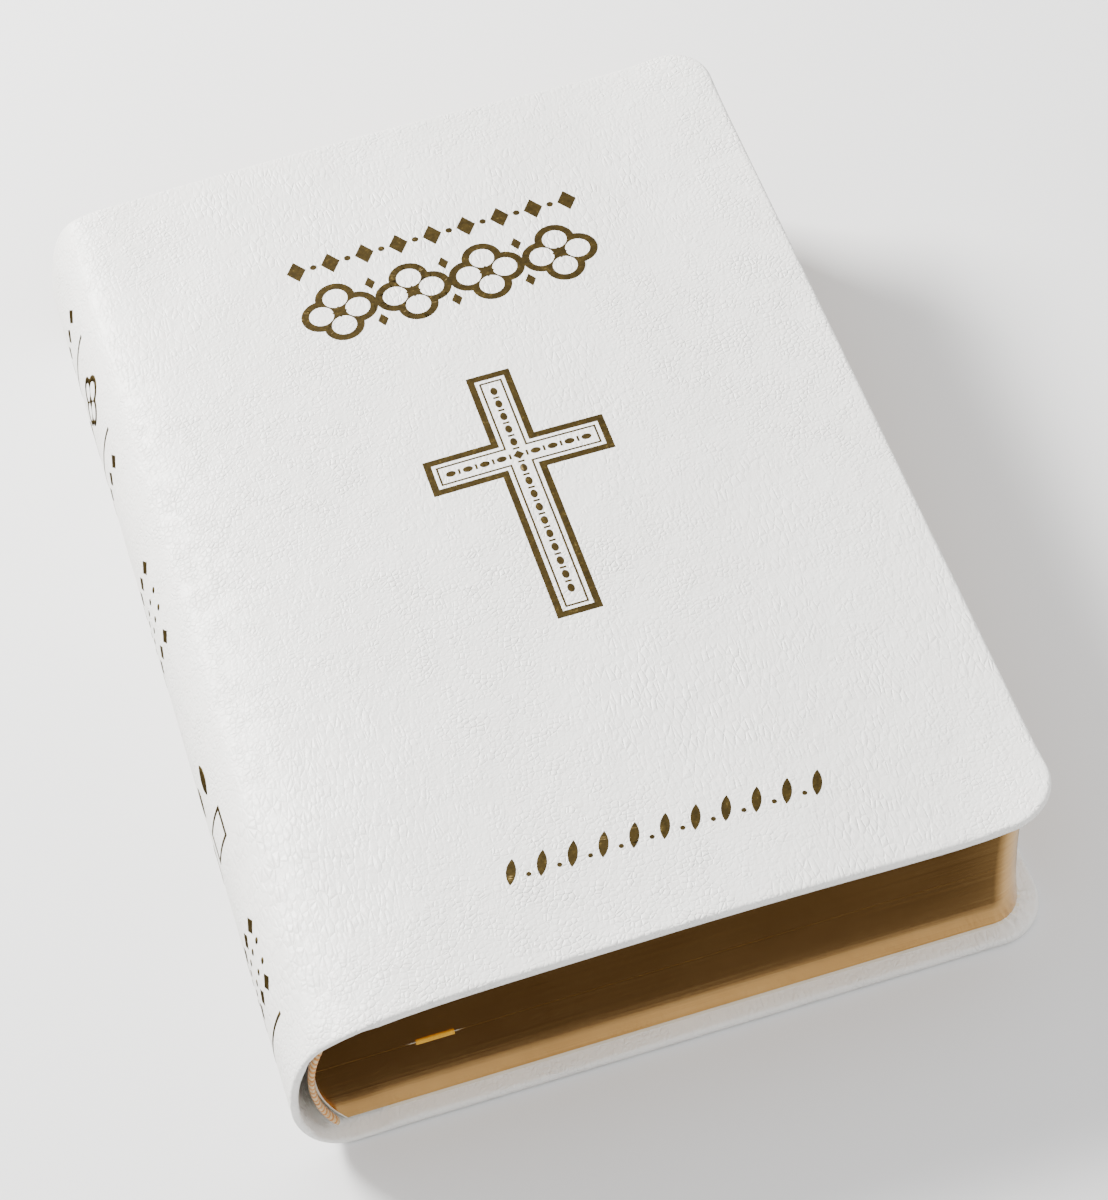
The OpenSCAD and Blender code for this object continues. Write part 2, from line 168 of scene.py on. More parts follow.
def head_shoulder(x, y, z):
    """The shoulder stands fuller at the head than at the tail."""
    near = np.exp(-(((x + 76) / 13) ** 2)) * ease((z - 22) / 14)
    return SHOULDER_RISE * near * ease((y - 10) / 105)


def fore_edge(z):
    u = 2 * z / book_t - 1
    return fore_x - fore_edge_hollow * (1 - u * u)


def back_of_block(z):
    return back_x + back_r - math.sqrt(back_r**2 - (z - back_centre_z) ** 2)


def half_gap(x, y):
    """Half of the gap at the opening, which closes at the page edges except beside the ribbon."""
    over_ribbon = x - ribbon_entry_x - (block_y - y) * math.tan(ribbon_slant)
    beside = np.exp(-((over_ribbon / BESIDE_RIBBON) ** 6))
    inside = ease((block_y - np.abs(y)) / GAP_CLOSES) * ease((fore_x - x) / GAP_CLOSES)
    return CLOSED_GAP + (HALF_GAP - CLOSED_GAP) * np.maximum(beside, inside)


def leaf_z(front, share):
    """Height of the pages at this share of the way from the opening to a cover."""

    def height(x, y):
        gap = opening_z + (half_gap(x, y) if front else -half_gap(x, y))
        face = top_z(x, y) - flyleaf_high if front else flyleaf_high + 0 * x
        return gap + (face - gap) * share

    return height


class Contour:
    """The closed case seen from its tail: along the front cover, round the spine, along the back cover."""

    def __init__(self):
        t = np.linspace(0, 1, 160)
        xs = half_w - (half_w + shoulder_x) * (1 - (1 - t) ** 1.6)
        top = np.column_stack([xs, crown_z(xs)])
        a = spine_x + half_w  # half the width of the spine's two part-ellipses
        join = math.acos((shoulder_x + spine_x) / a)
        high = (crown_z(-shoulder_x) - spine_peak_z) / math.sin(join)
        upper = [(spine_x - a * math.cos(u), spine_peak_z + high * math.sin(u))
                 for u in np.linspace(join, 0, 90)]
        lower = [(spine_x - a * math.cos(u), spine_peak_z - spine_peak_z * math.sin(u))
                 for u in np.linspace(0, math.pi / 2, 90)]
        bottom = np.column_stack([np.linspace(spine_x, half_w, 120), np.zeros(120)])
        points = np.vstack([top, upper[1:], lower[1:], bottom[1:]])
        length = np.concatenate([[0], np.cumsum(np.linalg.norm(np.diff(points, axis=0), axis=1))])
        self.length = length[-1]
        self.s = np.linspace(0, self.length, 3000)
        self.x = np.interp(self.s, length, points[:, 0])
        self.z = np.interp(self.s, length, points[:, 1])
        dx, dz = np.gradient(self.x, self.s), np.gradient(self.z, self.s)
        kernel = np.ones(25) / 25
        self.nx = np.convolve(np.pad(dz, 12, mode="edge"), kernel, "valid")
        self.nz = np.convolve(np.pad(-dx, 12, mode="edge"), kernel, "valid")
        top_part = self.s < self.at_z(spine_peak_z)
        self.s_front_board = np.interp(-board_x, -self.x[top_part], self.s[top_part])
        self.s_back_board = self.length - (half_w - board_x)

    def at_z(self, z):
        """Where along the contour the spine is at height z."""
        spine = (self.x < spine_x) & (np.gradient(self.z) < 0)
        return np.interp(-z, -self.z[spine], self.s[spine])

    def place(self, s, y, depth):
        x, z = np.interp(s, self.s, self.x), np.interp(s, self.s, self.z)
        nx, nz = np.interp(s, self.s, self.nx), np.interp(s, self.s, self.nz)
        size = np.hypot(nx, nz)
        front = s < self.at_z(spine_peak_z)
        lift = np.where(front, warp(x, y) + head_shoulder(x, y, z), 0)
        return np.column_stack([x - nx / size * depth, y, z - nz / size * depth + lift])

    def draped(self, places, normals, lift):
        """A thin solid laid on the spine: its outer face just above the leather, its inner face inside it."""
        nearest = np.hypot(places[:, :1] - self.x, places[:, 2:] - self.z).argmin(axis=1)
        outer = normals[:, 0] * self.nx[nearest] + normals[:, 2] * self.nz[nearest] > 0
        return self.place(self.s[nearest], places[:, 1], np.where(outer, -lift, 0.05))


contour = Contour()


# ---- mesh making ----

SHARP_ANGLE = math.radians(42)


def link(name, data):
    ob = bpy.data.objects.new(name, data)
    bpy.context.scene.collection.objects.link(ob)
    return ob


def add_mesh(name, vertices, faces, material, attributes=()):
    """A mesh object from millimetres. An attribute keeps its places at rest, which the materials read."""
    vertices = np.asarray(vertices, float)
    mesh = bpy.data.meshes.new(name)
    mesh.from_pydata((vertices * MM).tolist(), [], [list(map(int, f)) for f in faces])
    write_vector(mesh, "rest", vertices)
    for key, values in attributes:
        mesh.attributes.new(key, "FLOAT", "POINT").data.foreach_set("value", np.asarray(values, np.float32))
    bm = bmesh.new()
    bm.from_mesh(mesh)
    bmesh.ops.recalc_face_normals(bm, faces=bm.faces[:])
    bm.to_mesh(mesh)
    bm.free()
    mesh.polygons.foreach_set("use_smooth", [True] * len(mesh.polygons))
    mesh.set_sharp_from_angle(angle=SHARP_ANGLE)
    mesh.materials.append(material)
    mesh.validate()
    return link(name, mesh)


def write_vector(mesh, key, values):
    data = mesh.attributes.new(key, "FLOAT_VECTOR", "POINT").data
    data.foreach_set("vector", np.asarray(values, np.float32).ravel())


def put(ob, body, slot, *nodes):
    """Finishes a piece that rides on one body and stands for these nodes."""
    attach(ob, body)
    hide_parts(*nodes)


def put_blend(ob, a, b, start, end, slot, *nodes):
    """Bakes a piece's place into its mesh and hides the nodes it stands for."""
    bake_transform(ob)
    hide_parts(*nodes)


def grid_faces(rows, cols, base=0, wrap=False):
    """Quads of a grid of vertices, numbered row by row. wrap joins the last column to the first."""
    out = []
    for i in range(rows - 1):
        for j in range(cols if wrap else cols - 1):
            k = (j + 1) % cols
            a, b = base + i * cols, base + (i + 1) * cols
            out.append([a + j, a + k, b + k, b + j])
    return out


def leaf_faces(cols, wide):
    """Faces of a closed leaf: two grids of cols by wide vertices, joined round their rims."""
    n = cols * wide
    rim = [i * wide for i in range(cols)] + [(cols - 1) * wide + j for j in range(1, wide)]
    rim += [i * wide + wide - 1 for i in range(cols - 2, -1, -1)] + list(range(wide - 2, 0, -1))
    edge = [[a, b, b + n, a + n] for a, b in zip(rim, rim[1:] + rim[:1])]
    return grid_faces(cols, wide) + grid_faces(cols, wide, n) + edge


def towards_ends(half, count):
    """Places from -half to half in this many steps, closer together near the ends."""
    return half * np.sin(np.linspace(-math.pi / 2, math.pi / 2, count + 1))


# ---- the case: leather with its turned-in edges ----

CASE_RING_INSET = 8.0
TURN_IN_SHOWN = 10.0
CASE_ROWS = 34
CORNER_STEPS = 34
EDGE_STEPS = 9
NOSE = 1.05
PLEAT_H, PLEAT_RATE = 0.9, 11.5
SPINE_BEND = 1.5


def case_columns():
    """Stations along the case: (its place, or its corner's middle, the outline's angle, which end)."""
    c = contour
    r = cover_corner_r
    spine_cuts = [c.s_front_board, c.at_z(spine_high_z), c.at_z(spine_low_z), c.s_back_board]
    flat = [
        np.linspace(r, spine_cuts[0], 24)[:-1],
        np.linspace(spine_cuts[0], spine_cuts[1], 22)[:-1],
        np.linspace(spine_cuts[1], spine_cuts[2], 40)[:-1],
        np.linspace(spine_cuts[2], spine_cuts[3], 22)[:-1],
        np.linspace(spine_cuts[3], c.length - r, 24),
    ]
    columns = [(r, a, -1) for a in np.linspace(0, math.pi / 2, CORNER_STEPS)[:-1]]
    columns += [(s, math.pi / 2, 0) for s in np.concatenate(flat)]
    columns += [(c.length - r, a, 1) for a in np.linspace(math.pi / 2, 0, CORNER_STEPS)[1:]]
    return columns


def case_thickness(s):
    """Leather, stiffening and turned-in leather together."""
    c = contour
    board, hinge, spine = case_edge_t, leather_t + turn_in_t + 0.1, leather_t + inlay_t + turn_in_t
    on_spine = ease((s - c.at_z(spine_high_z) + 2) / 4) * (1 - ease((s - c.at_z(spine_low_z) + 2) / 4))
    on_board = (1 - ease((s - c.s_front_board + 1) / 5)) + ease((s - c.s_back_board + 4) / 5)
    return hinge + (spine - hinge) * on_spine + (board - hinge) * on_board


def case_profile():
    """Rings over the case's edge, from outside round to inside the leather: (inset, depth share, mm)."""
    rings = [(CASE_RING_INSET, 0, 0), (5.0, 0, 0), (3.0, 0, 0), (1.9, 0, 0.01)]
    for i in range(EDGE_STEPS + 1):
        a = math.pi * i / EDGE_STEPS
        rings.append((NOSE * (1 - math.sin(a) ** 0.8), (1 - math.cos(a)) / 2, 0))
    rings += [(w, 1, 0) for w in (1.9, 2.8, 3.9, 5.2, 6.8, TURN_IN_SHOWN - 0.4)]
    rings += [(TURN_IN_SHOWN, 1, -0.12), (TURN_IN_SHOWN, 1, -turn_in_t)]
    rings += [(leather_t, 1, -turn_in_t), (leather_t, 0, leather_t), (CASE_RING_INSET, 0, leather_t)]
    return rings


def pleats(angle, inset, side):
    """Height of the tucks where the turned-in leather is gathered round a corner."""
    spread = math.sin(2 * angle) ** 0.6 if 0 < angle < math.pi / 2 else 0
    ridge = 1 - abs(math.sin(PLEAT_RATE * angle + 0.7 * side + 0.35 * math.sin(5 * angle))) ** 0.7
    across = float(ease((inset - 0.8) / 1.6)) * float(1 - ease((inset - 7.5) / 2.5))
    return PLEAT_H * spread * ridge * across


def case_loop(columns, ring):
    """One closed ring of (s, y, depth) round the case at this inset."""
    inset, share, extra = ring
    r, straight = cover_corner_r, half_h - cover_corner_r
    tail = []
    reach = max(r - inset, 0.4)
    for s0, angle, side in columns:
        s = s0 + side * reach * math.cos(angle)
        y = -straight - reach * math.sin(angle) if side else inset - half_h
        depth = share * float(case_thickness(s)) + extra
        if side and share == 1 and extra == 0:
            depth += pleats(angle, inset, side)
        tail.append((s, y, depth))
    first, last = tail[0], tail[-1]
    ys = [straight * (2 * j / CASE_ROWS - 1) for j in range(1, CASE_ROWS)]
    back = [(last[0], y, last[2]) for y in ys]
    head = [(s, -y, d) for s, y, d in reversed(tail)]
    front = [(first[0], -y, first[2]) for y in ys]
    return tail + back + head + front


def case_mesh():
    """(places, faces, the s of each vertex) of the whole case: edge, outer face and inner face."""
    columns = case_columns()
    n, rows = len(columns), CASE_ROWS
    rings = [case_loop(columns, ring) for ring in case_profile()]
    loop = len(rings[0])
    cells = [v for ring in rings for v in ring]
    faces = []
    for k in range(len(rings) - 1):
        for j in range(loop):
            a, b = k * loop + j, k * loop + (j + 1) % loop
            faces.append([a, b, b + loop, a + loop])

    def patch(ring_index, depth):
        base = ring_index * loop

        def edge(i, j):
            if j == 0:
                return base + i
            if j == rows:
                return base + n + (rows - 1) + (n - 1 - i)
            if i == n - 1:
                return base + n + (j - 1)
            return base + 2 * n + (rows - 1) + (rows - 1 - j)

        inner = {}
        for i in range(1, n - 1):
            s, y0, _ = rings[ring_index][i]
            for j in range(1, rows):
                inner[i, j] = len(cells)
                cells.append((s, y0 * (1 - 2 * j / rows), depth))
        for i in range(n - 1):
            for j in range(rows):
                corners = ((i, j), (i, j + 1), (i + 1, j + 1), (i + 1, j))
                faces.append([inner[c] if c in inner else edge(*c) for c in corners])

    patch(0, 0)
    patch(len(rings) - 1, leather_t)
    cells = np.array(cells)
    return contour.place(cells[:, 0], cells[:, 1], cells[:, 2]), faces, cells[:, 0]


def part_of(places, faces, s, low, high):
    """The faces whose s lies between low and high, with their own vertices."""
    keep = [f for f in faces if low < s[f].mean() < high]
    used = sorted({v for f in keep for v in f})
    number = {v: i for i, v in enumerate(used)}
    return places[used], [[number[v] for v in f] for f in keep]


def make_case(leather):
    """Three pieces that meet on the spine."""
    places, faces, s = case_mesh()
    upper, lower = contour.at_z(spine_high_z), contour.at_z(spine_low_z)
    front = add_mesh("case_front", *part_of(places, faces, s, -1, upper), leather)
    spine = add_mesh("case_spine", *part_of(places, faces, s, upper, lower), leather)
    back = add_mesh("case_back", *part_of(places, faces, s, lower, contour.length + 1), leather)
    hinge_z = crown_z(board_x)
    put_blend(front, "front_pages", "front_cover", (board_x - 8, 0, hinge_z - 2), (board_x, 0, hinge_z),
              "leather", "front_leather", "front_hinge_leather")
    put_blend(spine, "text_block", "front_pages", (-half_w, 0, opening_z - SPINE_BEND),
              (-half_w, 0, opening_z + SPINE_BEND), "leather", "spine_leather")
    put_blend(back, "text_block", "back_cover", (board_x - 11, 0, 0), (board_x - 1, 0, 0), "leather",
              "back_leather", "back_hinge_leather")


# ---- flat layers: boards, endpapers and page sections ----

RIBBON_ZONE_X = -42.0
LEAF_COLUMNS = 26
LEAF_ROWS = 13


def plan_columns(x0, x1, r, count):
    """(x, inset of the edge from the half length) of a leaf with two rounded corners at x1."""
    near = np.linspace(x0, RIBBON_ZONE_X, count)[:-1]
    straight = [(x, 0.0) for x in np.concatenate([near, np.linspace(RIBBON_ZONE_X, x1 - r, 12)])]
    arc = [(x1 - r + r * math.sin(a), r * (1 - math.cos(a))) for a in np.linspace(0, math.pi / 2, 9)[1:]]
    return straight + arc


def layer(name, material, low, high, length, r, low_z, high_z):
    """A closed leaf between two surfaces. low and high are each (x at the spine, x at the fore-edge)."""
    sheets = []
    for (x0, x1), height in ((low, low_z), (high, high_z)):
        places = []
        for x, cut in plan_columns(x0, x1, r, LEAF_COLUMNS):
            places += [(x, y, float(height(x, y))) for y in towards_ends(length - cut, LEAF_ROWS)]
        sheets.append(places)
    wide = LEAF_ROWS + 1
    return add_mesh(name, sheets[0] + sheets[1], leaf_faces(len(sheets[0]) // wide, wide), material)


def cover_surface(front, depth):
    return (lambda x, y: top_z(x, y) - depth) if front else (lambda x, y: depth + 0 * x)


def make_boards(board, endpaper):
    for front in (False, True):
        side, body = ("front", "front_cover") if front else ("back", "back_cover")
        near, far = leather_t + CLEAR, case_edge_t - turn_in_t - CLEAR
        ends = (board_x, half_w - leather_t - 0.05)
        ob = layer(f"{side}_board_card", board, ends, ends, half_h - leather_t - 0.05,
                   cover_corner_r - leather_t, cover_surface(front, near), cover_surface(front, far))
        put(ob, body, "board", f"{side}_board")
        ends = (board_x - 0.5, pastedown_x)
        ob = layer(f"{side}_pastedown_sheet", endpaper, ends, ends, pastedown_y, page_corner_r,
                   cover_surface(front, cover_t - pastedown_t), cover_surface(front, cover_t))
        put(ob, body, "endpaper", f"{side}_pastedown")


def make_flyleaves(endpaper):
    for front in (False, True):
        side, body = ("front", "front_pages") if front else ("back", "text_block")
        z = crown_z(spine_x) - flyleaf_high if front else flyleaf_high
        ends = (back_of_block(z) + 0.3, fore_edge(z) - 0.05)
        ob = layer(f"{side}_flyleaf_sheet", endpaper, ends, ends, block_y - gilt_t, page_corner_r,
                   cover_surface(front, flyleaf_low), cover_surface(front, flyleaf_high))
        put(ob, body, "endpaper", f"{side}_flyleaf")


def section_ends(front, share):
    z = float(leaf_z(front, share)(spine_x, 0.0))
    out = float(leaf_z(front, share)(fore_x, 0.0))
    return back_of_block(z), fore_edge(out)


def make_sections(paper):
    for i, node in enumerate(sections):
        front = i < half_sections
        k = half_sections - 1 - i if front else i - half_sections
        shares = (k / half_sections, (k + 1) / half_sections)
        ends = [section_ends(front, share) for share in shares]
        ob = layer(f"leaves_{i + 1:02d}", paper, ends[0], ends[1], block_y - gilt_t, page_corner_r,
                   leaf_z(front, shares[0]), leaf_z(front, shares[1]))
        put(ob, "front_pages" if front else "text_block", "pages", node)


GILT_ROWS_PER_SECTION = 2
GILT_COLUMNS = 34
GROOVE = 0.03


def gilt_path(front, share, grow):
    """The pages' three open edges at one height, from the spine at the tail to the spine at the head."""
    x0, x1 = section_ends(front, share)
    length, r = block_y - gilt_t + grow, page_corner_r + grow
    columns = plan_columns(x0 + 0.4, x1 + grow, r, GILT_COLUMNS)
    tail = [(x, -(length - cut)) for x, cut in columns]
    straight = length - r
    edge = [(x1 + grow, y) for y in np.linspace(-straight, straight, 40)[1:-1]]
    head = [(x, -y) for x, y in reversed(tail)]
    return tail + edge + head


def make_gilding(gilt):
    """A thin skin over the page edges, a little drawn in between each two sections."""
    for front in (False, True):
        steps = half_sections * GILT_ROWS_PER_SECTION
        height = [leaf_z(front, i / steps) for i in range(steps + 1)]
        skins, levels = [], []
        for grow in (gilt_t, 0.0):
            for i in range(steps + 1):
                groove = GROOVE if i % GILT_ROWS_PER_SECTION == 0 and grow else 0.0
                path = gilt_path(front, i / steps, grow - groove)
                skins += [(x, y, float(height[i](x, y))) for x, y in path]
                levels += [(1 if front else -1) * i / steps] * len(path)
        cols = len(path)
        n = cols * (steps + 1)
        faces = grid_faces(steps + 1, cols) + grid_faces(steps + 1, cols, n)
        for row in (0, steps):
            faces += [[row * cols + j, row * cols + j + 1, n + row * cols + j + 1, n + row * cols + j]
                      for j in range(cols - 1)]
        for j in (0, cols - 1):
            faces += [[i * cols + j, (i + 1) * cols + j, n + (i + 1) * cols + j, n + i * cols + j]
                      for i in range(steps)]
        side, body = ("front", "front_pages") if front else ("back", "text_block")
        ob = add_mesh(f"{side}_edges_gilt", skins, faces, gilt, [("level", levels)])
        put(ob, body, "gilt", f"{side}_gilding")


# ---- pieces that cross the page opening, each in two halves that part at the opening ----

SPLIT = 0.15
PARTING = 0.004
CARD_SLIT = 2


def join_meshes(parts):
    """Several (places, faces) as one."""
    places, faces = [], []
    for p, f in parts:
        base = len(places)
        places += [tuple(v) for v in p]
        faces += [[base + i for i in face] for face in f]
    return places, faces


def split_piece(name, parts, material, slot, *nodes):
    """Several parts joined as one object, which stands for these nodes."""
    places, faces = join_meshes(parts)
    low, high = opening_z - PARTING, opening_z + PARTING
    put_blend(add_mesh(name, places, faces, material), "text_block", "front_pages", (0, 0, low), (0, 0, high),
              slot, *nodes)


def sweep(section, path, frames):
    """A closed tube: the section's 2-D points carried along the path, with both ends filled."""
    places = [p + a * f[0] + b * f[1] for p, f in zip(path, frames) for a, b in section]
    n = len(section)
    faces = grid_faces(len(path), n, wrap=True)
    faces += [list(range(n)), list(range(len(places) - n, len(places)))]
    return places, faces


def back_strip(d0, d1, y0, y1, z0, z1):
    """A layer on the block's round back, between two depths outwards and two heights."""
    angles = np.linspace(*(math.asin((z - back_centre_z) / back_r) for z in (z0, z1)), 14)
    rows = int((y1 - y0) / 8)
    ys = np.linspace(y0, y1, rows + 1) if rows > 2 else (y0, y1)
    centre = np.array([back_x + back_r, 0, back_centre_z])
    section = [(d0, y) for y in ys] + [(d1, y) for y in ys[::-1]]
    path = [centre + back_r * np.array([-math.cos(a), 0, math.sin(a)]) for a in angles]
    frames = [(np.array([-math.cos(a), 0, math.sin(a)]), np.array([0.0, 1.0, 0.0])) for a in angles]
    return sweep(section, path, frames)


def halves(low, high):
    return (low, opening_z - SPLIT), (opening_z + SPLIT, high)


def make_back_linings(cloth, kraft):
    low, high = box_mm("mull")
    zs = halves(low[2] + 0.2, high[2] - 0.2)
    tapes = [back_strip(0.01, tape_t - 0.01, y - tape_half_w, y + tape_half_w, *z)
             for y in tape_ys for z in zs]
    split_piece("tapes", tapes, cloth, "cloth", "sewing_tapes")
    d = tape_t
    mull = [back_strip(d, d + mull_t - 0.01, low[1], high[1], *z) for z in zs]
    split_piece("mull_cloth", mull, cloth, "cloth", "mull")
    d += mull_t
    low, high = box_mm("spine_lining")
    lining = [back_strip(d, d + lining_t, low[1], high[1], *z) for z in zs]
    split_piece("lining_paper", lining, kraft, "kraft", "spine_lining")


def make_spine_card(kraft):
    """The stiffening card inside the spine leather, slit where the book opens."""
    low, high = box_mm("spine_inlay")
    s_high, s_low = contour.at_z(high[2]), contour.at_z(low[2])
    cut_high, cut_low = contour.at_z(opening_z + CARD_SLIT), contour.at_z(opening_z - CARD_SLIT)
    cols, wide = 16, 24
    ys = np.linspace(low[1], high[1], wide)
    parts = []
    for a, b in ((s_high, cut_high), (cut_low, s_low)):
        places = []
        for depth in (leather_t + CLEAR, leather_t + inlay_t - CLEAR):
            for s in np.linspace(a, b, cols):
                places += [tuple(v) for v in contour.place(np.full(wide, s), ys, np.full(wide, depth))]
        parts.append((places, leaf_faces(cols, wide)))
    split_piece("spine_card", parts, kraft, "kraft", "spine_inlay")


# The bands' places by end, 1 at the head and -1 at the tail: (out from the back, beyond the edge).
BAND_SEATS = {1: (-0.6, 1.27), -1: (0.62, 1.3)}
BAND_SQUEEZE = {1: 1.0, -1: 0.6}
BAND_R = 1.1
WRAP_R = 1.22
WRAP_ANGLE = math.radians(1.3)
WRAP_PITCH = math.radians(2.6)
BAND_GAP = math.radians(0.25)
THREADS_PER_MM = 2.2
STEPS_PER_THREAD = 3


def band_tube(end, a0, a1, radius, ridge):
    """A thread-wound roll along the block's back between two angles above the level of the back's centre."""
    count = max(5, int(back_r * abs(a1 - a0) * THREADS_PER_MM * STEPS_PER_THREAD))
    seat_r, seat_y = BAND_SEATS[end]
    ring = back_r + seat_r
    centre = np.array([back_x + back_r, end * (block_y + seat_y), back_centre_z])
    path, frames = [], []
    for i, a in enumerate(np.linspace(a0, a1, count)):
        out = np.array([-math.cos(a), 0, math.sin(a)])
        r = radius - ridge * (0.5 + 0.5 * math.cos(math.tau * i / STEPS_PER_THREAD))
        if i in (0, count - 1):
            r = radius * 0.82
        path.append(centre + ring * out)
        frames.append((out * r * BAND_SQUEEZE[end], np.array([0.0, r, 0.0])))
    section = [(math.cos(t), math.sin(t)) for t in np.linspace(0, math.tau, 13)[:-1]]
    return sweep(section, path, frames)


def make_bands(band, wraps):
    low, high = box_mm("head_band")
    a0 = math.asin((low[2] + 0.3 - back_centre_z) / back_r)
    a1 = math.asin((high[2] - 0.3 - back_centre_z) / back_r)
    for end, name in ((1, "head"), (-1, "tail")):
        middle = math.asin((opening_z - back_centre_z) / (back_r + BAND_SEATS[end][0]))
        spans = ((a0, middle - BAND_GAP), (middle + BAND_GAP, a1))
        tubes = [band_tube(end, *ends, BAND_R, 0.1) for ends in spans]
        split_piece(f"{name}_band_core", tubes, band, "band", f"{name}_band")
        stripes = []
        for side, stop in ((1, a1), (-1, a0)):
            a = middle + side * WRAP_ANGLE / 2
            while abs(a - middle) < abs(stop - middle) - WRAP_PITCH:
                stripes.append(band_tube(end, a, a + side * WRAP_ANGLE, WRAP_R, 0.08))
                a += side * WRAP_PITCH
        split_piece(f"{name}_band_stripes", stripes, wraps, "band_wraps", f"{name}_band_wraps")


SHEET_T = 0.015
SHEET_ROWS = 22
FOLD_REACH = 80.9
FOLD_LEVEL = 0.12
EDGE_INSET = 2.5
HOLLOW_INSET = 1.2


def sheet_columns():
    """Stations of the centre sheet along X, from its fold to the fore-edge, closer in the corners."""
    x1 = fore_edge(opening_z) - EDGE_INSET
    r = page_corner_r
    corner = [x1 - r + r * math.sin(a) for a in np.linspace(0.15, math.pi / 2, 9)]
    return np.concatenate([
        np.linspace(-FOLD_REACH, back_x + 0.6, 10)[:-1], np.linspace(back_x + 0.6, RIBBON_ZONE_X, 36)[:-1],
        np.linspace(RIBBON_ZONE_X, x1 - r, 16), corner])


def make_centre_sheet(paper):
    """The sheet at the opening. Beyond the block's back it runs on to its fold, and bridges the gutter."""
    xs = sheet_columns()
    length, r = block_y - gilt_t - EDGE_INSET, page_corner_r

    def reach(x):
        into = max(0.0, x - (xs[-1] - r))
        in_hollow = float(ease((back_x + 1 - x) / 3))
        return length - r + math.sqrt(max(0.0, r**2 - into**2)) - HOLLOW_INSET * in_hollow

    def level(x, y):
        return FOLD_LEVEL if x < back_x + 0.6 else float(half_gap(x, y)) - 0.01

    parts = []
    for side in (-1, 1):
        places = []
        for t in (0.0, SHEET_T):
            for x in xs:
                ys = towards_ends(reach(x), SHEET_ROWS)
                places += [(x, y, opening_z + side * (level(x, y) - t)) for y in ys]
        parts.append((places, leaf_faces(len(xs), SHEET_ROWS + 1)))
    split_piece("centre_leaves", parts, paper, "pages", "centre_sheet")


# ---- ribbon ----

FOLD_BULB, FOLD_RISE = 0.4, 0.5
RIBBON_ARCH = 3.25


def ribbon_frame():
    entry = np.array([ribbon_entry_x, block_y - 0.05, opening_z])
    along = np.array([math.sin(ribbon_slant), -math.cos(ribbon_slant), 0])
    across = np.array([1 / math.cos(ribbon_slant), 0.0, 0.0])
    length = (entry[1] + block_y) / math.cos(ribbon_slant)
    return entry, along, across, length


def strip(centres, across, normals):
    """A length of the ribbon: a thin rectangle carried along a line, divided across its width."""
    us = np.linspace(-0.5, 0.5, 7)
    section = [(u * ribbon_w, ribbon_t / 2) for u in us] + [(u * ribbon_w, -ribbon_t / 2) for u in us[::-1]]
    return sweep(section, centres, list(zip(across, normals)))


def make_free_ribbon(satin):
    """From the head down the page, round the fold at the tail edge, and back up between the pages."""
    entry, along, across, length = ribbon_frame()
    up = np.array([0.0, 0.0, 1.0])
    centres, normals = [], []
    for t in np.linspace(0, length - 3, 70):
        centres.append(entry + along * t + up * (-0.12 + 0.03 * math.sin(t / 9)))
        normals.append(up)
    for a in np.linspace(-math.pi / 2, math.pi / 2, 13):
        centres.append(entry + along * (length + FOLD_BULB * math.cos(a)) + up * FOLD_RISE * math.sin(a))
        normals.append(-along * math.cos(a) - up * math.sin(a))
    for t in np.linspace(3, ribbon_tucked, 26):
        centres.append(entry + along * (length - t) + up * (0.13 + 0.02 * math.sin(t / 7)))
        normals.append(-up)
    tail = add_mesh("ribbon_strip", *strip(centres, [across] * len(centres), normals), satin)
    put(tail, "ribbon", "ribbon", "ribbon_tail")


def make_ribbon_over_band(satin):
    """From the block's back over the head band, turning by a quarter to lie flat on the page."""
    entry = ribbon_frame()[0]
    low, high = box_mm("ribbon_anchor")
    x_start, y_start = low[0] + 0.1, high[1]
    steps = np.linspace(0, 1, 33)
    centres, sides, normals = [], [], []
    for s in steps:
        x = x_start + (entry[0] - x_start) * (1 - math.cos(math.pi * s)) / 2
        y = y_start + 0.05 + (entry[1] + 0.1 - y_start - 0.05) * s + RIBBON_ARCH * math.sin(math.pi * s)
        centres.append(np.array([x, y, opening_z]))
    tangents = np.gradient(np.array(centres), axis=0)
    for s, tangent in zip(steps, tangents):
        a = math.pi / 2 * float(ease((s - 0.35) / 0.65))
        side = np.array([math.sin(a), 0.0, math.cos(a)])
        normal = np.cross(tangent, side)
        sides.append(side)
        normals.append(normal / np.linalg.norm(normal))
    fold = add_mesh("ribbon_over_band", *strip(centres, sides, normals), satin)
    put_blend(fold, "text_block", "ribbon", (x_start, 0, opening_z), (entry[0], 0, opening_z),
              "ribbon", "ribbon_fold")


def make_glued_ribbon(satin):
    low, high = box_mm("ribbon_anchor")
    d = tape_t + mull_t + lining_t + 0.03
    glued = [back_strip(d, d + ribbon_t, low[1], high[1], *z) for z in halves(low[2], high[2])]
    split_piece("ribbon_glued_end", glued, satin, "ribbon", "ribbon_anchor")


# ---- foil, pressed a little into the leather ----

FOIL_NODES = ("title_ornament", "cross_border", "cross_line", "cross_beads", "lower_ornament")
COVER_FOIL_STEP, SPINE_FOIL_STEP = 3.0, 1.6
COVER_FOIL_LIFT, SPINE_FOIL_LIFT = 0.015, 0.06


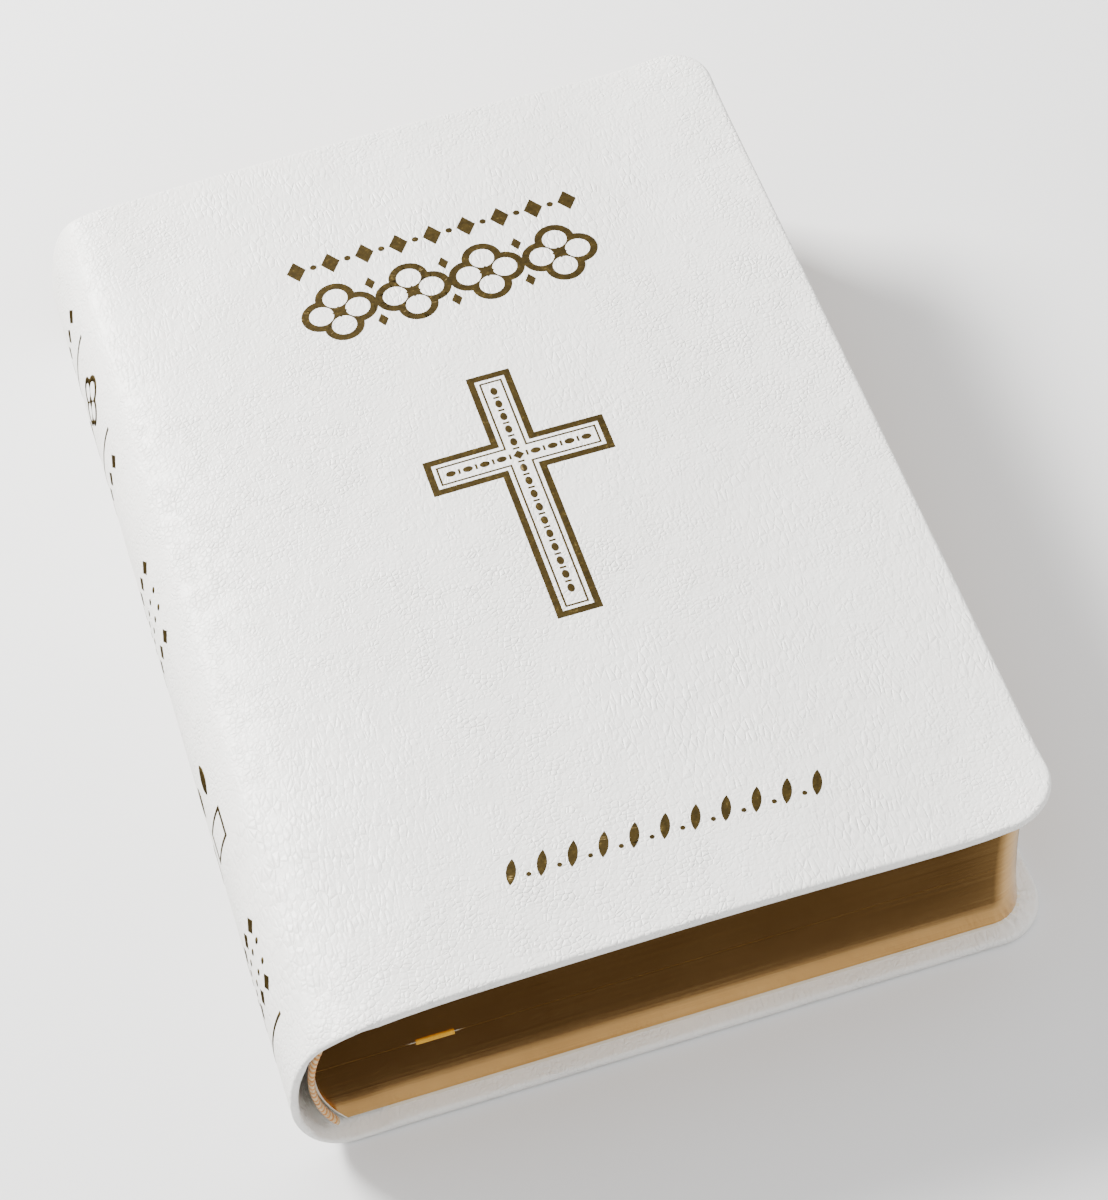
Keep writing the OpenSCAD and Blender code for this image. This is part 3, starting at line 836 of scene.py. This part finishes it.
def foil_from(node, name, foil, step):
    """The foil's own solid, divided finely enough to follow the leather, and its places in millimetres."""
    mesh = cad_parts[node].data.copy()
    bm = bmesh.new()
    bm.from_mesh(mesh)
    bmesh.ops.remove_doubles(bm, verts=bm.verts[:], dist=1e-6)
    for _ in range(4):
        long_edges = [e for e in bm.edges if e.calc_length() > step * MM]
        if not long_edges:
            break
        bmesh.ops.subdivide_edges(bm, edges=long_edges, cuts=1)
        bmesh.ops.triangulate(bm, faces=bm.faces[:])
    bm.to_mesh(mesh)
    bm.free()
    mesh.materials.clear()
    mesh.materials.append(foil)
    places = np.array([v.co for v in mesh.vertices]) / MM
    write_vector(mesh, "rest", places)
    return link(name, mesh), places


def move_to(ob, places):
    ob.data.vertices.foreach_set("co", (places * MM).astype(np.float32).ravel())


def make_foil(foil):
    for node in FOIL_NODES:
        ob, places = foil_from(node, f"{node}_foil", foil, COVER_FOIL_STEP)
        places[:, 2] += warp(places[:, 0], places[:, 1]) + COVER_FOIL_LIFT
        move_to(ob, places)
        put(ob, "front_cover", "foil", node)
    ob, places = foil_from("spine_ornament", "spine_foil", foil, SPINE_FOIL_STEP)
    normals = np.array([v.normal for v in ob.data.vertices])
    move_to(ob, contour.draped(places, normals, SPINE_FOIL_LIFT))
    put_blend(ob, "text_block", "front_pages", (0, 0, opening_z - SPINE_BEND), (0, 0, opening_z + SPINE_BEND),
              "foil", "spine_ornament")


# ---- materials ----


class Nodes:
    """Adds nodes to a node tree. A value is a socket to link from, a number or three numbers."""

    def __init__(self, tree):
        self.tree = tree

    def give(self, socket, value):
        if isinstance(value, bpy.types.NodeSocket):
            self.tree.links.new(value, socket)
        else:
            socket.default_value = (*value, 1) if socket.type == "RGBA" else value

    def node(self, kind, inputs=None, **settings):
        made = self.tree.nodes.new(kind)
        for key, value in settings.items():
            setattr(made, key, value)
        for key, value in (inputs or {}).items():
            self.give(made.inputs[key], value)
        return made

    def split(self, vector):
        return self.node("ShaderNodeSeparateXYZ", {"Vector": vector}).outputs

    def combine(self, x, y, z):
        return self.node("ShaderNodeCombineXYZ", {"X": x, "Y": y, "Z": z}).outputs[0]

    def math(self, operation, a, b=0.0):
        return self.node("ShaderNodeMath", {0: a, 1: b}, operation=operation).outputs[0]

    def times(self, a, b):
        return self.math("MULTIPLY", a, b)

    def ramp(self, value, *stops):
        made = self.node("ShaderNodeValToRGB", {"Fac": value})
        elements = made.color_ramp.elements
        while len(elements) < len(stops):
            elements.new(0.5)
        for element, (at, colour) in zip(elements, stops):
            element.position, element.color = at, (*colour, 1)
        return made.outputs["Color"]

    def mix(self, factor, a, b):
        return self.node("ShaderNodeMix", {0: factor, 6: a, 7: b}, data_type="RGBA").outputs[2]


class Shader(Nodes):
    """Builds one material."""

    def __init__(self, name):
        self.material = bpy.data.materials.new(name)
        self.material.use_nodes = True
        super().__init__(self.material.node_tree)

    def rest(self):
        """Places at rest in millimetres, stored in the mesh."""
        return self.node("ShaderNodeAttribute", attribute_name="rest").outputs["Vector"]

    def stretch(self, vector, scale, angle=0.0):
        inputs = {"Vector": vector, "Scale": scale, "Rotation": (0, 0, angle)}
        return self.node("ShaderNodeMapping", inputs).outputs["Vector"]

    def noise(self, vector, scale, detail=3.0, rough=0.5):
        inputs = {"Vector": vector, "Scale": scale, "Detail": detail, "Roughness": rough}
        return self.node("ShaderNodeTexNoise", inputs).outputs["Fac"]

    def cells(self, vector, scale):
        """Distance from the borders between cells."""
        inputs = {"Vector": vector, "Scale": scale}
        return self.node("ShaderNodeTexVoronoi", inputs, feature="DISTANCE_TO_EDGE").outputs["Distance"]

    def bump(self, height, distance, strength=1.0, normal=None):
        inputs = {"Height": height, "Distance": distance * MM, "Strength": strength}
        if normal:
            inputs["Normal"] = normal
        return self.node("ShaderNodeBump", inputs).outputs["Normal"]

    def finish(self, colour, roughness, normal=None, **sockets):
        values = {"Base Color": colour, "Roughness": roughness, **sockets}
        if normal:
            values["Normal"] = normal
        for key, value in values.items():
            self.give(self.tree.nodes["Principled BSDF"].inputs[key], value)
        return self.material


def grey(v):
    return (v, v, v)


def leather_material():
    s = Shader("white_leather")
    place = s.rest()
    pebbles = s.cells(place, 0.8)
    creases = s.cells(s.stretch(place, (1.0, 0.42, 0.8), math.radians(38)), 0.8)
    where = s.ramp(s.noise(place, 0.018, 2), (0.42, grey(0)), (0.62, grey(1)))
    plump = s.ramp(s.mix(where, pebbles, creases), (0.0, grey(0)), (0.16, grey(0.6)), (0.42, grey(1)))
    broken = s.ramp(s.noise(place, 0.25, 3), (0.35, grey(0.25)), (0.65, grey(1)))
    grain = s.times(plump, broken)
    waves = s.noise(place, 0.05, 2)
    fine = s.noise(place, 1.9, 3)
    colour = s.ramp(s.noise(place, 0.03, 3), (0.3, (0.89, 0.875, 0.838)), (0.7, (0.925, 0.912, 0.878)))
    # Painted shade: the leather's colour is greyed a little in the valleys of its grain.
    painted_valley_shade = s.times(s.math("SUBTRACT", 1.0, plump), 0.12)
    colour = s.mix(painted_valley_shade, colour, (0.66, 0.65, 0.63))
    normal = s.bump(waves, 2.0, 0.35)
    normal = s.bump(grain, 0.2, 1.0, normal)
    normal = s.bump(fine, 0.07, 0.7, normal)
    rough = s.ramp(s.noise(place, 0.6, 2), (0.3, grey(0.36)), (0.7, grey(0.48)))
    return s.finish(colour, rough, normal, **{"Specular IOR Level": 0.5})


def foil_material():
    s = Shader("gold_foil_painted_reflection")
    place = s.rest()
    # Painted reflection: the gold foil is coloured near black olive, as when mirroring dark surroundings, with
    # scattered brighter specks as painted glints.
    glint_specks = s.noise(place, 0.9, 4, 0.65)
    colour = s.ramp(glint_specks, (0.35, (0.03, 0.019, 0.003)), (0.62, (0.055, 0.035, 0.006)),
                    (0.75, (0.17, 0.12, 0.035)))
    rough = s.ramp(s.noise(place, 2.5, 3), (0.3, grey(0.4)), (0.7, grey(0.58)))
    normal = s.bump(s.noise(place, 1.3, 3), 0.05, 0.5)
    return s.finish(colour, rough, normal, **{"Metallic": 0.6, "Specular IOR Level": 0.2})


def gilt_material():
    s = Shader("gilt_edges")
    place = s.rest()
    level = s.node("ShaderNodeAttribute", attribute_name="level").outputs["Fac"]
    x, y, _ = s.split(place)
    around = s.times(s.math("ADD", x, y), 0.012)
    lines = s.noise(s.combine(around, 0.0, s.times(level, 95.0)), 1.0, 3, 0.6)
    broad = s.noise(s.combine(around, 0.0, s.times(level, 14.0)), 1.0, 2)
    cloud = s.noise(place, 0.04, 3)
    colour = s.ramp(s.math("ADD", s.times(lines, 0.6), s.times(cloud, 0.4)),
                    (0.3, (0.52, 0.285, 0.08)), (0.55, (0.70, 0.43, 0.15)), (0.75, (0.80, 0.55, 0.23)))
    rough = s.ramp(lines, (0.3, grey(0.17)), (0.7, grey(0.25)))
    normal = s.bump(lines, 0.02, 0.4)
    normal = s.bump(broad, 0.12, 0.3, normal)
    return s.finish(colour, rough, normal, **{"Metallic": 1.0})


def paper_material(name, base, printed=False):
    s = Shader(name)
    place = s.rest()
    x, y, z = s.split(place)
    mottle = s.noise(place, 0.35, 4)
    darker = tuple(c * 0.94 for c in base)
    colour = s.ramp(mottle, (0.3, darker), (0.7, base))
    if printed:
        colour = s.mix(type_area(s, x, y), colour, (0.09, 0.085, 0.08))
    layers = s.combine(s.times(x, 0.02), s.times(y, 0.02), s.times(z, 9.0))
    normal = s.bump(s.noise(layers, 1.0, 2), 0.04, 0.35)
    normal = s.bump(s.noise(place, 2.2, 3), 0.02, 0.4, normal)
    return s.finish(colour, s.ramp(mottle, (0.3, grey(0.72)), (0.7, grey(0.85))), normal)


def span(s, value, low, high):
    """1 where the value lies between low and high."""
    return s.times(s.math("GREATER_THAN", value, low), s.math("LESS_THAN", value, high))


LINE_PITCH = 3.1
FIRST_LINE_Y = -200.0
PRINT_COLUMNS = ((-57.0, -1.5), (2.5, 60.0))
PRINT_HALF_H = 97.0
INK = 0.62


def type_area(s, x, y):
    """Two columns of plain grey bars that stand for lines of print."""
    lines = s.math("DIVIDE", s.math("SUBTRACT", y, FIRST_LINE_Y), LINE_PITCH)
    bar, row = s.math("FRACT", lines), s.math("FLOOR", lines)
    seed = s.combine(s.times(x, 0.42), s.times(row, 7.3), 0.0)
    words = s.math("GREATER_THAN", s.noise(seed, 1.0, 0), 0.44)
    column = s.math("ADD", *(span(s, x, *ends) for ends in PRINT_COLUMNS))
    area = s.times(column, span(s, y, -PRINT_HALF_H, PRINT_HALF_H))
    return s.times(s.times(area, s.times(span(s, bar, 0.3, 0.72), words)), INK)


def card_material(name, base, speck):
    s = Shader(name)
    fibres = s.noise(s.stretch(s.rest(), (1, 0.25, 1), 0.6), 1.6, 4, 0.7)
    colour = s.ramp(fibres, (0.32, speck), (0.6, base))
    return s.finish(colour, s.ramp(fibres, (0.3, grey(0.8)), (0.7, grey(0.92))), s.bump(fibres, 0.05, 0.5))


def cloth_material():
    s = Shader("open_weave_cloth")
    _, y, z = s.split(s.rest())
    weave = s.times(s.math("SINE", s.times(y, 5.5)), s.math("SINE", s.times(z, 5.5)))
    colour = s.ramp(weave, (0.35, (0.50, 0.45, 0.35)), (0.6, (0.74, 0.69, 0.58)))
    return s.finish(colour, s.ramp(weave, (0.2, grey(0.95)), (0.8, grey(0.85))), s.bump(weave, 0.1, 0.6))


def thread_material(name, dark, light):
    s = Shader(name)
    strands = s.noise(s.stretch(s.rest(), (1.2, 1.2, 5.0)), 1.0, 3)
    colour = s.ramp(strands, (0.35, dark), (0.65, light))
    return s.finish(colour, s.ramp(strands, (0.3, grey(0.5)), (0.7, grey(0.7))), s.bump(strands, 0.08, 0.5),
                    **{"Sheen Weight": 0.3, "Sheen Roughness": 0.4})


def ribbon_material():
    s = Shader("golden_satin")
    threads = s.noise(s.stretch(s.rest(), (9.0, 0.35, 2.0), ribbon_slant), 1.0, 2)
    colour = s.ramp(threads, (0.35, (0.55, 0.25, 0.005)), (0.65, (0.76, 0.42, 0.02)))
    return s.finish(colour, s.ramp(threads, (0.3, grey(0.38)), (0.7, grey(0.5))), s.bump(threads, 0.03, 0.6),
                    **{"Sheen Weight": 0.08, "Sheen Roughness": 0.3, "Specular IOR Level": 0.3})


# ---- stage, in metres ----

FLOOR_HALF, FLOOR_DROP = 4.0, 0.0004
SKY = 1.42
LIT_POINT = (0, 0, 0.02)
CAMERA_AZIMUTH, CAMERA_ELEVATION, CAMERA_ROLL = -0.216962, 0.919703, -0.1006995
CAMERA_OFFSET = (7.094, 3.860, 757.04)  # in millimetres: to its right, up and back from the origin
CAMERA_LENS = 99.075


def floor_material():
    s = Shader("studio_floor")
    place = s.stretch(s.node("ShaderNodeTexCoord").outputs["Object"], (1 / MM, 1 / MM, 1 / MM))
    tone = s.ramp(s.noise(place, 0.004, 2), (0.3, grey(0.80)), (0.7, grey(0.84)))
    rough = s.ramp(s.noise(place, 0.01, 1), (0.3, grey(0.9)), (0.7, grey(0.95)))
    return s.finish(tone, rough, **{"Specular IOR Level": 0.1})


def make_floor():
    mesh = bpy.data.meshes.new("floor")
    corners = [(x * FLOOR_HALF, y * FLOOR_HALF, -FLOOR_DROP) for x, y in ((-1, -1), (1, -1), (1, 1), (-1, 1))]
    mesh.from_pydata(corners, [], [[0, 1, 2, 3]])
    mesh.materials.append(floor_material())
    floor = link("floor", mesh)
    floor.visible_glossy = False


def softbox(name, place, size, power, colour):
    light = bpy.data.lights.new(name, "AREA")
    light.shape = "RECTANGLE"
    light.size, light.size_y = size
    light.energy = power
    light.color = colour
    ob = link(name, light)
    ob.location = Vector(place)
    ob.rotation_mode = "QUATERNION"
    ob.rotation_quaternion = (Vector(LIT_POINT) - ob.location).to_track_quat("-Z", "Y")


def make_world():
    """Soft white light from above. Below the horizon, which only the gilding mirrors, it is dark brown towards
    the spine and bright towards the fore-edge."""
    world = bpy.data.worlds.new("studio")
    world.use_nodes = True
    n = Nodes(world.node_tree)
    x, _, z = n.split(n.node("ShaderNodeTexCoord").outputs["Generated"])
    below = n.ramp(x, (0.05, (0.060, 0.046, 0.034)), (0.26, (0.105, 0.088, 0.070)),
                   (0.52, (0.75, 0.72, 0.68)))
    above = n.ramp(z, (0.05, (0.20, 0.205, 0.215)), (0.9, grey(1)))
    horizon = n.ramp(n.math("ADD", z, 0.5), (0.46, grey(0)), (0.54, grey(1)))
    background = world.node_tree.nodes["Background"]
    n.give(background.inputs["Color"], n.mix(horizon, below, above))
    background.inputs["Strength"].default_value = SKY
    bpy.context.scene.world = world


def make_lights():
    softbox("key", (-0.75, 0.85, 0.75), (0.45, 0.35), 74.0, (1.0, 0.99, 0.965))
    softbox("fill", (0.9, -0.5, 0.9), (0.7, 0.7), 4.0, (0.97, 0.98, 1.0))


def make_camera():
    az, el, roll = CAMERA_AZIMUTH, CAMERA_ELEVATION, CAMERA_ROLL
    back = Vector((math.sin(az) * math.cos(el), -math.cos(az) * math.cos(el), math.sin(el)))
    level = Vector((math.cos(az), math.sin(az), 0))
    upright = back.cross(level)
    right = math.cos(roll) * level + math.sin(roll) * upright
    up = -math.sin(roll) * level + math.cos(roll) * upright
    axes = (right, up, back)
    place = sum((axis * offset for axis, offset in zip(axes, CAMERA_OFFSET)), Vector()) * MM
    data = bpy.data.cameras.new("camera")
    data.lens, data.sensor_width = CAMERA_LENS, 36
    data.clip_start, data.clip_end = 0.01, 50
    cam = link("camera", data)
    cam.matrix_world = Matrix([(right[i], up[i], back[i], place[i]) for i in range(3)] + [(0, 0, 0, 1)])
    bpy.context.scene.camera = cam


# ---- putting it together ----


def make_book():
    leather = leather_material()
    paper = paper_material("page_paper", (0.86, 0.82, 0.72))
    printed = paper_material("printed_paper", (0.86, 0.82, 0.72), printed=True)
    endpaper = paper_material("endpaper", (0.82, 0.77, 0.65))
    board = card_material("grey_board", (0.42, 0.38, 0.32), (0.26, 0.23, 0.19))
    kraft = card_material("kraft_paper", (0.42, 0.27, 0.13), (0.27, 0.16, 0.07))
    satin = ribbon_material()
    make_case(leather)
    make_boards(board, endpaper)
    make_flyleaves(endpaper)
    make_sections(paper)
    make_gilding(gilt_material())
    make_back_linings(cloth_material(), kraft)
    make_spine_card(kraft)
    make_bands(thread_material("cream_thread", (0.50, 0.33, 0.15), (0.80, 0.60, 0.34)),
               thread_material("orange_thread", (0.42, 0.16, 0.03), (0.68, 0.29, 0.06)))
    make_centre_sheet(printed)
    make_free_ribbon(satin)
    make_ribbon_over_band(satin)
    make_glued_ribbon(satin)
    make_foil(foil_material())


make_book()
make_floor()
make_world()
make_lights()
make_camera()
